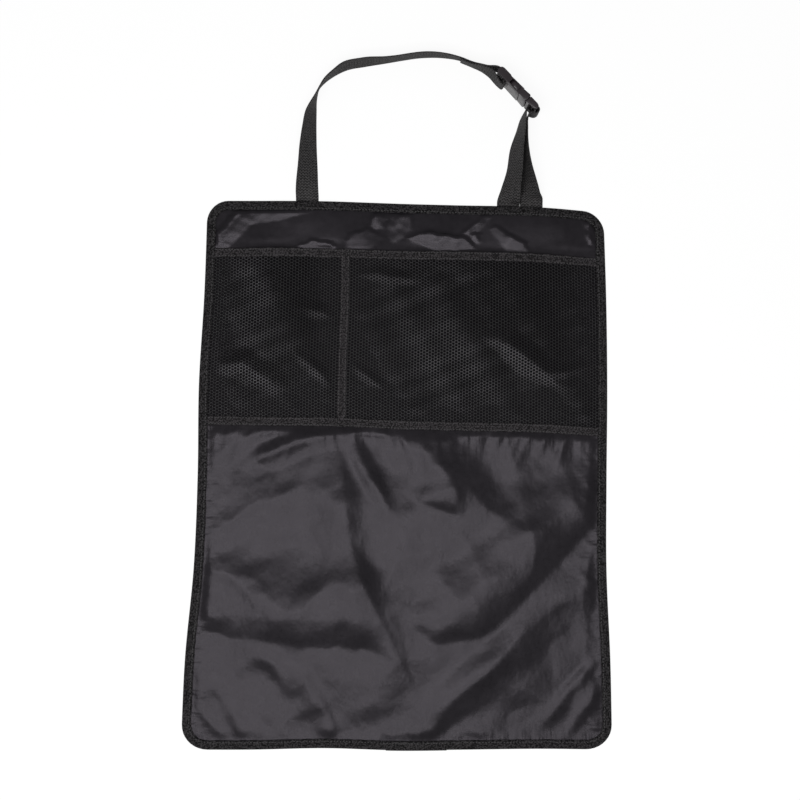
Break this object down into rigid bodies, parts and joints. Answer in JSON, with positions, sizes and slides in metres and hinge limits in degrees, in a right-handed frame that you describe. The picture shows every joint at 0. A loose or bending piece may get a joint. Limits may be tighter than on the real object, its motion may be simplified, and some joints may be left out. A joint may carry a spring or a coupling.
{
  "type": "seat back kick mat",
  "caption": "Coated fabric mat with a taped edge, a net pocket panel with a divider across its upper half and a webbing loop with a side release buckle for headrest posts.",
  "frame": {"origin": "middle of the whole outline's box, on the surface that the mat lies on", "axes": "+Y from the mat's bottom edge to its top edge and headrest loop, +X to the viewer's right, +Z out of the front face"},
  "size_m": [0.4724, 0.7631, 0.0332],
  "materials": {
    "nylon": "smooth coated weave",
    "tape": "matt woven tape",
    "net": "open knitted net",
    "webbing": "ribbed webbing",
    "acetal": "moulded satin"
  },
  "bodies": {
    "mat": {"main_panel": "nylon", "edge_binding": "tape", "pocket_net": "net", "pocket_hem_tape": "tape", "pocket_base_tape": "tape", "divider_tape": "tape", "strap_long": "webbing", "strap_short": "webbing", "buckle_socket": "acetal"},
    "clip": {"buckle_clip": "acetal"}
  },
  "joints": [
    {"name": "buckle_release", "type": "slide", "parent": "mat", "child": "clip", "axis": [0.6947, -0.7193, 0], "range_m": [0, 0.03], "deforming": ["buckle_clip", "strap_short"]}
  ]
}
